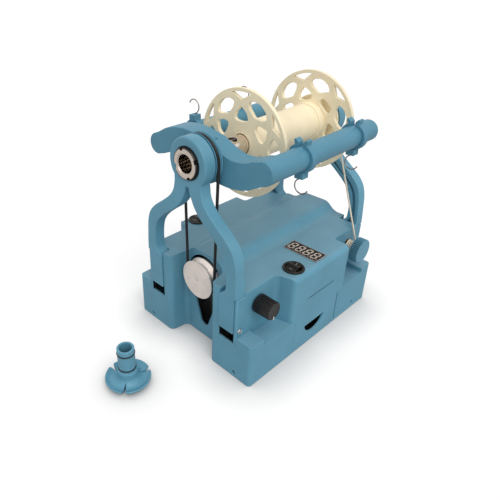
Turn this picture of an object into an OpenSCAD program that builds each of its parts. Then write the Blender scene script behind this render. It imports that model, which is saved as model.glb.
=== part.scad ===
// Electric yarn spinner with an open flyer and a loose orifice insert.
// +Z is up, the spindle runs along Y and its orifice faces -Y.
// The origin is on the table, under the middle of the base.

/* [Base] */
// Width of the base, side to side
base_w = 172; // [168:1:178]
// Length of the base, front to back
base_l = 216; // [214:1:220]
// Height of the seam between tray and cover
seam_z = 42; // [40:1:44]
// Height of the cover's shoulders
shoulder_z = 100; // [98:1:102]
// Height of the ridge along the cover
ridge_z = 110; // [108:1:113]
// Wall thickness of tray and cover
wall = 2.6; // [2.2:0.2:3]
// Thickness of the tray's floor
floor_t = 3; // [2.5:0.5:3.5]

/* [Spindle] */
// Height of the spindle axis
spindle_z = 215; // [213:1:218]
// Outer radius of the orifice tube
tube_r = 10; // [10:0.5:10]
// Bore radius of the orifice tube
orifice_r = 9; // [8.8:0.1:9.2]
// Radius of the rear flyer shaft
shaft_r = 4; // [4:0.5:4]
// Thickness of each maiden, front to back
maiden_t = 11; // [10.5:0.5:11]
// Outer radius of the maiden's ring
ring_r = 24.3; // [23.9:0.2:24.3]

/* [Flyer] */
// Distance of the arms from the spindle axis
arm_off = 69; // [68.5:0.5:70]
// Radius of the arms
arm_r = 10.8; // [10.4:0.2:11]
// Front face of the yoke
yoke_y = -88; // [-88:1:-88]
// Depth of the yoke, front to back
yoke_t = 22; // [20:1:23]
// Rear end of the arms
arm_end_y = 78; // [76:1:79]
// Turn of the flyer about its axis, right arm up
flyer_turn = 3.4; // [0:0.2:5]

/* [Bobbin] */
// Radius of the bobbin's flanges
flange_r = 54; // [52:1:54]
// Rear face of the front flange
flange_front_y = -34; // [-35:1:-33]
// Front face of the rear flange
flange_rear_y = 72; // [71:1:73]
// Thickness of each flange
flange_t = 4; // [3:0.5:4]
// Radius of the bobbin's core
core_r = 19.4; // [18:0.2:19.4]
// Radius at the floor of the brake groove
brake_r = 24; // [23:0.5:24]

/* [Drive] */
// Height of the motor axis
motor_z = 82; // [81:1:84]
// Radius of the belt on the motor pulley
belt_r_motor = 19.6; // [19:0.2:20]
// Radius of the belt on the flyer pulley
belt_r_flyer = 22.8; // [22.4:0.2:23]
// Radius of the round belt
belt_r = 1.5; // [1.4:0.1:1.6]

/* [Controls] */
// Distance of both round switches from the middle
switch_x = 70.5; // [68:0.5:70.5]
// Outer radius of a round switch's bezel
switch_r = 11.6; // [11.4:0.1:11.8]
// Radius of the speed knob
knob_r = 10; // [9.5:0.1:11]
// Radius of the brake tension knob
tension_r = 14.5; // [14:0.5:15]

/* [Insert] */
// Where the loose insert stands, left or right of the middle
insert_x = -4; // [-8:1:4]
// Where the loose insert stands, in front of the base
insert_y = -190; // [-196:1:-184]
// Height of the insert
insert_h = 45; // [44:1:46]

/* [Hidden] */

BLUE = "#4f86a0";
CREAM = "#ecdcae";
STEEL = "#b9b9bb";
DARK = "#222222";

half_w = base_w / 2;
half_l = base_l / 2;
round_n = 48;

// Front notch between the two feet, and the recess wall behind it
notch_x = 28;
notch_wall_y = -86.5;
// Leg slots of the maidens, and the cheek outside each slot
slot_in = 43;
slot_out = 62.4;
cheek_x = 66;
foot_z = 55.5;
maiden_y = half_l - maiden_t;
maiden_proud = 1.5;
foot_screw_z = 59.3;
// Side recesses in front of and behind the full-width middle
front_recess_y = -49;
rear_recess_y = 50;
ledge_z = 46;
pad_z = 51.5;
pad_l = 19.5;
// Skirts of the cover that close the tray's sides
skirt_front_y = -38;
skirt_rear_y = 41;
skirt_z = 3;

// Belt plane and pulley widths
belt_y = -92.2;
pulley_half = 4;
// Axis of the speed knob and of the tension knob, along X
knob_y = -78;
knob_z = 80.7;
tension_y = 80;
tension_z = 79.5;
switch_y = -30;
display_x = 59;
display_y = 4.5;
display_w = 41.5;
display_l = 18.8;
clip_y = [-34, 50, -34, 44];

// Points on a fillet of radius c[2] at corner b, between its neighbours a and c
function unit(v) = v / norm(v);
function corner(a, b, c, r, n) =
    let (
        u = unit(a - b),
        v = unit(c - b),
        half = acos(max(-1, min(1, u * v))) / 2,
        middle = b + unit(u + v) * r / sin(half),
        s = b + u * r / tan(half) - middle,
        e = b + v * r / tan(half) - middle,
        w = 180 - 2 * half
    )
    [for (i = [0:n]) middle + (s * sin((1 - i / n) * w) + e * sin(i / n * w)) / sin(w)];
function xy(p) = [p[0], p[1]];
// Outline through corners [x, y, fillet radius]
function rounded(p, n = 5) = [
    for (i = [0:len(p) - 1])
        let (k = len(p))
        each (p[i][2] == 0 ? [xy(p[i])]
              : corner(xy(p[(i + k - 1) % k]), xy(p[i]), xy(p[(i + 1) % k]), p[i][2], n))
];
function flip(p) = [for (i = [len(p) - 1:-1:0]) [-p[i][0], p[i][1], p[i][2]]];
// Smooth open curve through points
function blend(p, i, t) =
    let (a = p[max(i - 1, 0)], b = p[i], c = p[i + 1], d = p[min(i + 2, len(p) - 1)])
    0.5 * (2 * b + (c - a) * t + (2 * a - 5 * b + 4 * c - d) * t * t
           + (3 * b - a - 3 * c + d) * t * t * t);
function smooth(p, n) = [
    for (i = [0:len(p) - 2], j = [0:n - 1]) blend(p, i, j / n)
];
function arc(cx, cy, r, a0, a1, n) = [
    for (i = [0:n]) let (a = a0 + (a1 - a0) * i / n) [cx + r * cos(a), cy + r * sin(a)]
];

// Solids along the three axes
module along_y(y0, y1) translate([0, y1, 0]) rotate([90, 0, 0]) linear_extrude(y1 - y0) children();
module along_x(x0, x1) translate([x0, 0, 0]) rotate([90, 0, 90]) linear_extrude(x1 - x0) children();
module rod_y(r, y0, y1, x = 0, z = 0)
    translate([x, y1, z]) rotate([90, 0, 0]) cylinder(r = r, h = y1 - y0, $fn = round_n);
module rod_x(r, x0, x1, y = 0, z = 0)
    translate([x0, y, z]) rotate([0, 90, 0]) cylinder(r = r, h = x1 - x0, $fn = round_n);
module ring_y(r_out, r_in, y0, y1, x = 0, z = 0)
    difference() {
        rod_y(r_out, y0, y1, x, z);
        rod_y(r_in, y0 - 1, y1 + 1, x, z);
    }
module box(x0, x1, y0, y1, z0, z1) translate([x0, y0, z0]) cube([x1 - x0, y1 - y0, z1 - z0]);

// Tube along points, its cross-section turned as little as possible
function tangent(p, i) =
    unit(p[min(i + 1, len(p) - 1)] - p[max(i - 1, 0)]);
function frames(p) = [
    for (
        i = 0,
        t = tangent(p, 0),
        n = unit(cross(t, abs(t[2]) < 0.9 ? [0, 0, 1] : [1, 0, 0]));
        i < len(p);
        i = i + 1,
        t = i < len(p) ? tangent(p, i) : t,
        n = unit(n - t * (n * t))
    )
        [n, cross(t, n)]
];
module swept(p, r, sides) {
    f = frames(p);
    count = len(p);
    points = [
        for (i = [0:count - 1], k = [0:sides - 1])
            let (a = 360 * k / sides)
            p[i] + r * (cos(a) * f[i][0] + sin(a) * f[i][1])
    ];
    skin = [
        for (i = [0:count - 2], k = [0:sides - 1])
            let (
                a = i * sides + k,
                b = i * sides + (k + 1) % sides,
                c = a + sides,
                d = b + sides
            )
            each [[a, d, b], [a, c, d]]
    ];
    ends = [
        for (k = [1:sides - 2])
            each [[0, k, k + 1],
                  [(count - 1) * sides, (count - 1) * sides + k + 1, (count - 1) * sides + k]]
    ];
    polyhedron(points = points, faces = concat(skin, ends));
}
// Closed loop in a plane of constant y, through points [x, z]
module loop_y(p, y, r, sides) {
    count = len(p);
    points = [
        for (i = [0:count - 1], k = [0:sides - 1])
            let (
                t = unit(p[(i + 1) % count] - p[(i + count - 1) % count]),
                a = 360 * k / sides
            )
            [p[i][0] + r * cos(a) * t[1], y + r * sin(a), p[i][1] - r * cos(a) * t[0]]
    ];
    faces = [
        for (i = [0:count - 1], k = [0:sides - 1])
            let (
                a = i * sides + k,
                b = i * sides + (k + 1) % sides,
                c = ((i + 1) % count) * sides + k,
                d = ((i + 1) % count) * sides + (k + 1) % sides
            )
            each [[a, b, d], [a, d, c]]
    ];
    polyhedron(points = points, faces = faces);
}

// ---- Base: tray, cover and what holds them ----

tray_plan = rounded([
    [-half_w, -half_l, 4], [-notch_x - 3, -half_l, 6], [-notch_x, notch_wall_y, 6],
    [notch_x, notch_wall_y, 6], [notch_x + 3, -half_l, 6], [half_w, -half_l, 4],
    [half_w, half_l, 4], [-half_w, half_l, 4]
]);
// Right half of the cover's plan, from the notch round to the rear
cover_half = [
    [notch_x, notch_wall_y, 6], [notch_x + 3, -half_l, 6],
    [slot_in, -half_l, 1.5], [slot_in, -maiden_y, 0], [slot_out, -maiden_y, 0],
    [slot_out, -half_l, 0], [cheek_x, -half_l, 1], [cheek_x, front_recess_y - 2, 7],
    [half_w, front_recess_y + 4, 6], [half_w, rear_recess_y, 1.5], [cheek_x, rear_recess_y, 4],
    [cheek_x, half_l, 1], [slot_out, half_l, 0], [slot_out, maiden_y, 0],
    [slot_in, maiden_y, 0], [slot_in, half_l, 1.5]
];
cover_plan = rounded(concat(cover_half, flip(cover_half)));
// Cross-section of the cover: shoulders with a ridge between them
cover_profile = rounded([
    [half_w, seam_z - 10, 0], [half_w, shoulder_z, 7], [29, shoulder_z, 14], [17, ridge_z, 12],
    [-17, ridge_z, 12], [-29, shoulder_z, 14], [-half_w, shoulder_z, 7], [-half_w, seam_z - 10, 0]
], 6);
// Window round the motor pulley, tapering to a slot below it
window_r = 24;
window_foot_r = 6;
window_foot_z = 21;
window_lean = asin((window_r - window_foot_r) / (motor_z - window_foot_z));
window = concat(
    arc(0, motor_z, window_r, -window_lean, 180 + window_lean, 24),
    arc(0, window_foot_z, window_foot_r, 180 + window_lean, 360 - window_lean, 12)
);

module motor_window() along_y(notch_wall_y - 8, notch_wall_y + wall + 6) polygon(window);

// Half-moon finger hole low in each side, flat side up
hole_x = half_w - 6;
module side_hole(side)
    translate([side > 0 ? hole_x : -half_w - 2, -1.5, 27])
        along_x(0, 8) polygon(arc(0, 5, 19, 195, 345, 14));

module corner_ledge(z0, z1, pad) {
    translate([0, 0, z0]) linear_extrude(z1 - z0) difference() {
        intersection() {
            polygon(tray_plan);
            union() {
                for (side = [-1, 1], end = [-1, 1])
                    translate([side * (cheek_x + 15), end * (half_l - (pad ? pad_l / 2 : 40))])
                        square([30, pad ? pad_l : 80], center = true);
            }
        }
        polygon(cover_plan);
    }
}

// Places of the case screws, and of the soft pads under the tray
module at_case_screws() for (side = [-1, 1], y = [-74, 92]) translate([side * 38, y, 0]) children();
module at_pads() for (x = [-1, 1], y = [-1, 1]) translate([x * 72, y * 92, 0]) children();

// Hollow of the tray, round the posts of the case screws
module tray_hollow() difference() {
    union() {
        translate([0, 0, floor_t]) linear_extrude(seam_z - floor_t - wall)
            offset(delta = -wall) polygon(tray_plan);
        translate([0, 0, seam_z - wall - 1]) linear_extrude(wall + 2)
            offset(delta = -wall) polygon(cover_plan);
    }
    at_case_screws() cylinder(r = 5, h = seam_z, $fn = round_n);
}

dowel_r = 2.1;
module base_tray() color(BLUE) {
    difference() {
        union() {
            linear_extrude(seam_z) polygon(tray_plan);
            corner_ledge(seam_z, ledge_z, false);
            corner_ledge(ledge_z, pad_z, true);
        }
        tray_hollow();
        for (side = [-1, 1])
            box(side > 0 ? half_w - wall - 0.2 : -half_w - 1, side > 0 ? half_w + 1 : -half_w + wall + 0.2,
                skirt_front_y, skirt_rear_y, skirt_z, seam_z + 1);
        motor_window();
        at_case_screws() {
            translate([0, 0, -1]) cylinder(r = 1.6, h = seam_z + 2, $fn = round_n);
            translate([0, 0, -1]) cylinder(r = 3.2, h = 4, $fn = round_n);
        }
        at_pads() translate([0, 0, -1]) cylinder(r = 6, h = 2.2, $fn = round_n);
        for (side = [-1, 1]) {
            // Blind holes low in the front and the sides
            rod_y(dowel_r, -half_l - 1, -half_l + 4, side * 64.5, 5.6);
            rod_x(dowel_r, side > 0 ? half_w - 4 : -half_w - 1, side > 0 ? half_w + 1 : -half_w + 4, 78, 7.5);
            // Open floor below each maiden's foot
            for (end = [-1, 1])
                translate([side * (slot_in + slot_out) / 2, end * (maiden_y + half_l - 2 * wall) / 2, seam_z])
                    cube([slot_out - slot_in - 1, half_l - maiden_y, 2 * wall + 2], center = true);
        }
    }
}

module rubber_feet() color(DARK)
    at_pads() cylinder(r = 5.9, h = 1.2, $fn = round_n);

module case_screws() color(STEEL)
    at_case_screws() {
        translate([0, 0, 0.7]) cylinder(r = 2.8, h = 2.3, $fn = round_n);
        translate([0, 0, 2]) cylinder(r = 1.5, h = seam_z + 4, $fn = round_n);
    }

module cover_shell(inset, top_inset) intersection() {
    translate([0, 0, seam_z - inset]) linear_extrude(80) offset(delta = -inset) polygon(cover_plan);
    along_y(-half_l - 1, half_l + 1) offset(delta = -top_inset) polygon(cover_profile);
}

module top_cover() color(BLUE) {
    difference() {
        union() {
            difference() {
                cover_shell(0, 0);
                cover_shell(wall, wall);
            }
            for (side = [-1, 1])
                box(side > 0 ? half_w - wall : -half_w, side > 0 ? half_w : -half_w + wall,
                    skirt_front_y + 0.1, skirt_rear_y - 1.5, skirt_z + 0.2, seam_z + 4);
            // Posts that take the case screws
            at_case_screws() translate([0, 0, seam_z])
                cylinder(r = 5, h = shoulder_z - seam_z - 1, $fn = round_n);
        }
        motor_window();
        at_case_screws() translate([0, 0, seam_z - 1]) cylinder(r = 1.55, h = 8, $fn = round_n);
        for (side = [-1, 1]) {
            side_hole(side);
            // Slit in each side
            box(side > 0 ? half_w - wall - 1 : -half_w - 1, side > 0 ? half_w + 1 : -half_w + wall + 1,
                -20.5, 27, 63.1, 65.2);
            // Hole below each maiden's foot
            for (end = [-1, 1])
                translate([side * (slot_in + slot_out) / 2, end * (maiden_y - wall), (seam_z + foot_z) / 2 - 1])
                    cube([slot_out - slot_in - 1, 3 * wall, foot_z - seam_z + 1], center = true);
            // Cheek lowered under each maiden's shoulder
            for (end = [-1, 1])
                translate([side * (slot_out + 3), end * (maiden_y + 6), 98.9])
                    cube([6.4, 12.6, 4.2], center = true);
            // Screw holes of the maidens' feet
            for (end = [-1, 1])
                rod_x(1.6, side > 0 ? slot_out - 1 : -cheek_x - 1, side > 0 ? cheek_x + 1 : -slot_out + 1,
                    end * (half_l - 4.2), foot_screw_z);
            // Hole of each round switch
            translate([side * switch_x, switch_y, shoulder_z - wall - 1])
                cylinder(r = 10, h = wall + 2, $fn = round_n);
        }
        box(display_x - display_w / 2 + 1.5, display_x + display_w / 2 - 1.5,
            display_y - display_l / 2 + 1.5, display_y + display_l / 2 - 1.5, shoulder_z - wall - 1, shoulder_z + 1);
        // Shafts of the speed control and of the brake tension knob
        rod_x(3.6, cheek_x - wall - 1, cheek_x + 1, knob_y, knob_z);
        rod_x(5.1, cheek_x - wall - 1, cheek_x + 1, tension_y, tension_z);
        // Power inlet in the rear wall
        rod_y(5.6, half_l - wall - 1, half_l + 1, -20, 62);
    }
}

// ---- Maidens ----

// Right half of the lyre: outer edge upwards, then inner edge downwards
maiden_outer = smooth([
    [65.2, 97], [64.7, 108], [64, 118], [62.6, 133], [58.5, 145.5], [50, 155.5], [36.5, 166], [25.5, 175.5],
    [19.5, 185], [17.3, 197], [17.3, 205]
], 4);
maiden_inner = smooth([
    [2.4, 190], [4.6, 183], [9, 174], [17, 165], [31, 154], [42.5, 143.5], [49, 133.5], [51.5, 120],
    [51.5, 107], [50, 101.5], [46.5, 98.4], [slot_in + 0.2, 95]
], 4);
maiden_half = concat(
    [[slot_in + 0.2, foot_z], [slot_out - 0.2, foot_z], [slot_out - 0.2, 97]],
    maiden_outer,
    [[17.3, 205], [2.4, 205]],
    maiden_inner,
    [[slot_in + 0.2, 95]]
);
// The groove down the inside of each leg, 4 mm inside its edges
channel_half = concat(
    [[48, 62], [58.4, 62], [60.4, 98]],
    smooth([[60.4, 106], [60, 118], [58, 131], [53.5, 142], [45, 151], [33, 160], [23.5, 169.5], [16.5, 179]], 4),
    smooth([[12.5, 177], [20, 168], [34.5, 157], [46, 146], [53, 134.5], [55.5, 121], [55.2, 104], [48, 95]], 4)
);

bearing_front_r = 16;
bearing_rear_r = 11;

module maiden(seat_r, seat_depth, shaft_hole_r) {
    difference() {
        union() {
            translate([0, -maiden_y, spindle_z]) rotate([90, 0, 0])
                rotate_extrude($fn = 64) polygon(rounded([
                    [0, 0, 0], [ring_r, 0, 0.8], [ring_r, maiden_t + maiden_proud, 2.4],
                    [0, maiden_t + maiden_proud, 0]
                ]));
            for (side = [0, 1])
                mirror([side, 0, 0]) along_y(-half_l - maiden_proud, -maiden_y) polygon(maiden_half);
        }
        for (side = [0, 1])
            mirror([side, 0, 0]) along_y(-maiden_y - 4.5, -maiden_y + 1) polygon(channel_half);
        rod_y(seat_r, -half_l + maiden_t - seat_depth, -maiden_y + 1, 0, spindle_z);
        rod_y(shaft_hole_r, -half_l - 3, -maiden_y + 1, 0, spindle_z);
        for (side = [-1, 1])
            rod_x(1.25, side > 0 ? slot_out - 12 : -slot_out - 1, side > 0 ? slot_out + 1 : -slot_out + 12,
                -half_l + 4.2, foot_screw_z);
    }
}

module front_maiden() color(BLUE) maiden(bearing_front_r, maiden_t, bearing_front_r);
module rear_maiden() color(BLUE) rotate([0, 0, 180]) maiden(bearing_rear_r, 8, 8);

module maiden_screws() color(STEEL)
    for (side = [-1, 1], end = [-1, 1])
        rotate([0, 0, side > 0 ? 0 : 180]) translate([0, side * end * (half_l - 4.2), foot_screw_z]) {
            rod_x(1.2, slot_out - 10, cheek_x + 0.5);
            translate([cheek_x, 0, 0]) rotate([0, 90, 0]) difference() {
                cylinder(r = 2.8, h = 2, $fn = round_n);
                translate([0, 0, 1]) cube([0.8, 4, 2.4], center = true);
                translate([0, 0, 1]) cube([4, 0.8, 2.4], center = true);
            }
        }

// ---- Bearings ----

front_bearing_y = -105.4;
rear_bearing_y = maiden_y + 0.4;
module race(r_out, r_in, y0, w, ball_c, ball_r)
    difference() {
        ring_y(r_out, r_in, y0, y0 + w, 0, spindle_z);
        translate([0, y0 + w / 2, spindle_z]) rotate([90, 0, 0])
            rotate_extrude($fn = round_n) translate([ball_c, 0]) circle(r = ball_r + 0.12, $fn = 16);
    }
module front_bearing_outer() color(STEEL) race(bearing_front_r, 14.2, front_bearing_y, 7, 13, 1.9);
module front_bearing_inner() color(STEEL) race(11.8, tube_r + 0.02, front_bearing_y, 7, 13, 1.9);
module rear_bearing_outer() color(STEEL) race(bearing_rear_r, 9, rear_bearing_y, 7, 7.5, 1.9);
module rear_bearing_inner() color(STEEL) race(6, shaft_r + 0.02, rear_bearing_y, 7, 7.5, 1.9);
module bearing_balls() color(STEEL) {
    for (i = [0:9]) rotate_about_spindle(36 * i)
        translate([13, front_bearing_y + 3.5, 0]) sphere(r = 1.9, $fn = 16);
    for (i = [0:6]) rotate_about_spindle(360 / 7 * i)
        translate([7.5, rear_bearing_y + 3.5, 0]) sphere(r = 1.9, $fn = 16);
}
module rotate_about_spindle(a) translate([0, 0, spindle_z]) rotate([0, -a, 0]) children();

// ---- Drive ----

motor_r = 21;
motor_front_y = -66;
motor_rear_y = 2;
bracket_t = 3;
module motor_can() color(STEEL) difference() {
    union() {
        rod_y(motor_r, motor_front_y, motor_rear_y, 0, motor_z);
        rod_y(6.5, motor_front_y - 4, motor_front_y, 0, motor_z);
    }
    rod_y(2.6, motor_front_y - 5, motor_rear_y - 12, 0, motor_z);
    for (a = [0, 90, 180, 270])
        rod_y(1.3, motor_front_y - 1, motor_front_y + 5, 13 * cos(a + 45), motor_z + 13 * sin(a + 45));
}
module motor_end_cap() color(DARK) {
    rod_y(motor_r - 1, motor_rear_y, motor_rear_y + 5, 0, motor_z);
    rod_y(5, motor_rear_y + 5, motor_rear_y + 8, 0, motor_z);
    for (side = [-1, 1]) box(side * 12 - 2, side * 12 + 2, motor_rear_y + 5, motor_rear_y + 12,
                             motor_z - 0.4, motor_z + 0.4);
}
module motor_bracket() color(STEEL) difference() {
    union() {
        box(-24, 24, motor_front_y - bracket_t, motor_front_y, floor_t, motor_z + 16);
        box(-24, 24, motor_front_y, motor_front_y + 34, floor_t, floor_t + bracket_t);
    }
    rod_y(6.6, motor_front_y - bracket_t - 1, motor_front_y + 1, 0, motor_z);
    for (a = [0, 90, 180, 270])
        rod_y(1.6, motor_front_y - bracket_t - 1, motor_front_y + 1,
              13 * cos(a + 45), motor_z + 13 * sin(a + 45));
}
module motor_screws() color(STEEL)
    for (a = [0, 90, 180, 270])
        translate([13 * cos(a + 45), 0, motor_z + 13 * sin(a + 45)]) {
            rod_y(2.7, motor_front_y - bracket_t - 2, motor_front_y - bracket_t);
            rod_y(1.25, motor_front_y - bracket_t, motor_front_y + 4);
        }
module motor_shaft() color(STEEL)
    rod_y(2.5, belt_y - pulley_half, motor_rear_y - 14, 0, motor_z);

// Grooved pulley about Y: flange, groove floor and bore radius, half width and rim
module pulley(flange, floor_r, bore, half, rim)
    rotate([90, 0, 0]) rotate_extrude($fn = 64) polygon([
        [bore, -half], [flange, -half], [flange, -half + rim], [floor_r, -1.1],
        [floor_r, 1.1], [flange, half - rim], [flange, half], [bore, half]
    ]);
pulley_floor = belt_r + 0.35;
module motor_pulley() color("#cdb9ad") translate([0, belt_y, motor_z]) {
    difference() {
        pulley(belt_r_motor + 1.8, belt_r_motor - pulley_floor, 0.9, pulley_half + 1.6, 1.4);
        rod_y(2.52, -pulley_half - 0.1, pulley_half + 2);
    }
    difference() {
        rod_y(6, pulley_half + 1.6, pulley_half + 9);
        rod_y(2.52, pulley_half, pulley_half + 10);
    }
}
module flyer_pulley() color(BLUE) translate([0, belt_y, spindle_z])
    pulley(belt_r_flyer + 1.9, belt_r_flyer - pulley_floor, tube_r + 0.02, pulley_half, 0.8);

// Round belt: two straight strands and the two arcs where it wraps
belt_span = spindle_z - motor_z;
belt_lean = asin((belt_r_flyer - belt_r_motor) / belt_span);
belt_path = concat(
    arc(0, spindle_z, belt_r_flyer, -belt_lean, 180 + belt_lean, 22),
    arc(0, motor_z, belt_r_motor, 180 + belt_lean, 360 - belt_lean, 20)
);
module drive_belt() color("#111111") loop_y(belt_path, belt_y, belt_r, 8);

// ---- Electronics and controls ----

board_z = 14;
module control_board() color("#1f5d38") difference() {
    box(-58, 58, 30, 86, board_z, board_z + 1.6);
    for (x = [-54, 54], y = [34, 82])
        translate([x, y, board_z - 1]) cylinder(r = 1.6, h = 4, $fn = round_n);
}
module board_parts() color("#3a3a3c") {
    for (x = [-54, 54], y = [34, 82])
        translate([x, y, floor_t]) cylinder(r = 3, h = board_z - floor_t, $fn = round_n);
    for (x = [-30, -16]) translate([x, 70, board_z + 1.6]) cylinder(r = 5, h = 12, $fn = round_n);
    for (i = [0:6]) box(6 + 4 * i, 7.6 + 4 * i, 56, 80, board_z + 4.6, board_z + 20);
    box(6, 32, 56, 80, board_z + 1.6, board_z + 4.6);
    box(-46, -22, 34, 44, board_z + 1.6, board_z + 11);
    box(-4, 14, 38, 50, board_z + 1.6, board_z + 4);
}

lip = 1;
module display_bezel() color("#d8d2c4") translate([display_x, display_y, shoulder_z]) difference() {
    union() {
        box(-display_w / 2, display_w / 2, -display_l / 2, display_l / 2, 0, lip);
        box(-display_w / 2 + 1.6, display_w / 2 - 1.6, -display_l / 2 + 1.6, display_l / 2 - 1.6, -8, 0);
    }
    box(-display_w / 2 + 0.7, display_w / 2 - 0.7, -display_l / 2 + 0.7, display_l / 2 - 0.7, 0, lip + 1);
    box(-display_w / 2 + 3, display_w / 2 - 3, -display_l / 2 + 3, display_l / 2 - 3, -9, 1);
}
module display_face() color("#0d0d0e") translate([display_x, display_y, shoulder_z])
    box(-display_w / 2 + 0.8, display_w / 2 - 0.8, -display_l / 2 + 0.8, display_l / 2 - 0.8, 0, lip - 0.2);

// Round rocker switch: bezel, barrel and a paddle that rocks about X
module switch_body(side) color(DARK) translate([side * switch_x, switch_y, shoulder_z]) difference() {
    union() {
        cylinder(r1 = switch_r, r2 = switch_r - 0.8, h = 2, $fn = round_n);
        translate([0, 0, -18]) cylinder(r = 9.8, h = 18, $fn = round_n);
    }
    translate([0, 0, -6]) cylinder(r = paddle_r + 0.8, h = 12, $fn = round_n);
}
paddle_r = 7.8;
module switch_paddle(side) color("#1a1a1a")
    translate([side * switch_x, switch_y, shoulder_z]) intersection() {
        union() {
            along_x(-6.2, 6.2) polygon([[7.6, -0.4], [7.4, 3.6], [0, 2.2], [-7.6, 1.9], [-7.6, -0.4]]);
            rod_x(4.6, -6.2, 6.2, 0, -0.4);
        }
        translate([0, 0, -8]) cylinder(r = paddle_r, h = 16, $fn = round_n);
    }
module power_switch_body() switch_body(1);
module direction_switch_body() switch_body(-1);
module power_rocker() switch_paddle(1);
module direction_rocker() switch_paddle(-1);

module pot_body() color(STEEL) difference() {
    union() {
        rod_x(8, cheek_x - wall - 12, cheek_x - wall, knob_y, knob_z);
        rod_x(3.5, cheek_x - wall, cheek_x + 6, knob_y, knob_z);
    }
    rod_x(3.1, cheek_x - wall - 10, cheek_x + 7, knob_y, knob_z);
}
module pot_nut() color(STEEL) difference() {
    translate([cheek_x, knob_y, knob_z]) rotate([0, 90, 0]) cylinder(r = 5.8, h = 2.2, $fn = 6);
    rod_x(3.52, cheek_x - 1, cheek_x + 4, knob_y, knob_z);
}
module pot_shaft() color(STEEL) rod_x(3, cheek_x - wall - 9, cheek_x + 16, knob_y, knob_z);

// Knob about X with ribs round its side
module ribbed_knob(x0, x1, r, ribs, rib_r, bore, bore_end, y, z)
    translate([x0, y, z]) rotate([0, 90, 0]) difference() {
        cylinder(r = r, h = x1 - x0, $fn = round_n);
        for (i = [0:ribs - 1]) rotate([0, 0, 360 / ribs * (i + 0.5)])
            translate([r + rib_r * 0.35, 0, -1]) cylinder(r = rib_r, h = x1 - x0 - 1.5, $fn = 16);
        translate([0, 0, -1]) cylinder(r = bore, h = bore_end + 1, $fn = round_n);
    }
module speed_knob() color("#1c1a1a") difference() {
    ribbed_knob(cheek_x + 1.4, cheek_x + 20.5, knob_r, 18, 0.9, 3.02, 15, knob_y, knob_z);
    rod_x(7, cheek_x + 1, cheek_x + 6.5, knob_y, knob_z);
}

module dc_inlet() color(DARK) difference() {
    union() {
        rod_y(5.5, half_l - 16, half_l, -20, 62);
        rod_y(7, half_l, half_l + 1.6, -20, 62);
    }
    difference() {
        rod_y(3.2, half_l - 11, half_l + 3, -20, 62);
        rod_y(1, half_l - 12, half_l - 0.5, -20, 62);
    }
}

// ---- Brake ----

peg_r = 5;
tension_face_x = cheek_x + 21.5;
tension_back_x = cheek_x + 11.5;
module tension_bush() color(STEEL) difference() {
    union() {
        rod_x(5, cheek_x - wall - 2, cheek_x, tension_y, tension_z);
        rod_x(7.5, cheek_x, cheek_x + 1, tension_y, tension_z);
    }
    rod_x(3.05, cheek_x - wall - 3, cheek_x + 2, tension_y, tension_z);
}
module tension_shaft() color(STEEL) {
    rod_x(3, cheek_x - wall - 6, cheek_x + 1.2, tension_y, tension_z);
    rod_x(peg_r, cheek_x + 1.2, tension_back_x, tension_y, tension_z);
    rod_x(3, tension_back_x, tension_face_x - 3, tension_y, tension_z);
    rod_x(5, cheek_x - wall - 6, cheek_x - wall - 4, tension_y, tension_z);
}
module tension_knob() color(BLUE)
    ribbed_knob(tension_back_x, tension_face_x, tension_r, 44, 0.7, 3.02, 9, tension_y, tension_z);

cord_r = 1;
cord_gap = 0.3;
coil_r = peg_r + cord_r + cord_gap;
coil_turns = 2.75;
coil_pitch = 2 * cord_r + 0.45;
coil_x0 = cheek_x + 2.4;
brake_y = flange_rear_y + flange_t + 9;
groove_r = brake_r + cord_r + cord_gap;
// Angle at which the cord leaves the peg and meets the whorl, both seen along Y
peg_leave = [coil_x0 + coil_turns * coil_pitch, tension_z + 2];
peg_dist = norm([peg_leave[0], peg_leave[1] - spindle_z]);
peg_angle = atan2(peg_leave[1] - spindle_z, peg_leave[0]);
touch_right = peg_angle + acos(groove_r / peg_dist);
spring_top = [-37, 172];
spring_dist = norm([spring_top[0], spring_top[1] - spindle_z]);
spring_angle = 360 + atan2(spring_top[1] - spindle_z, spring_top[0]);
touch_left = spring_angle - acos(groove_r / spring_dist);
cord_start_a = 90;
cord_coil = [
    for (i = [0:24 * coil_turns])
        let (a = cord_start_a + 15 * i)
        [coil_x0 + coil_pitch * i / 24, tension_y + coil_r * cos(a), tension_z + coil_r * sin(a)]
];
cord_over = [
    for (i = [0:16])
        let (a = touch_right + (touch_left - touch_right) * i / 16)
        [groove_r * cos(a), brake_y, spindle_z + groove_r * sin(a)]
];
function between(a, b, n) = [for (i = [1:n - 1]) a + (b - a) * i / n];
cord_last = cord_coil[len(cord_coil) - 1];
spring_eye = [spring_top[0], brake_y, spring_top[1]];
cord_path = concat(
    [cord_coil[0] + [0, 3, 0.3]],
    cord_coil,
    between(cord_last, cord_over[0], 6),
    cord_over,
    between(cord_over[16], spring_eye, 3),
    [spring_eye]
);
module brake_cord() color("#e9dfc8") swept(cord_path, cord_r, 6);
// Least distance between points of a path that lie more than skip points apart
function least(p, skip) = min([
    for (i = [0:len(p) - 1 - skip]) for (j = [i + skip:len(p) - 1]) norm(p[i] - p[j])
]);
echo(cord_least_gap = least(cord_path, 12) - 2 * cord_r);

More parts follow.
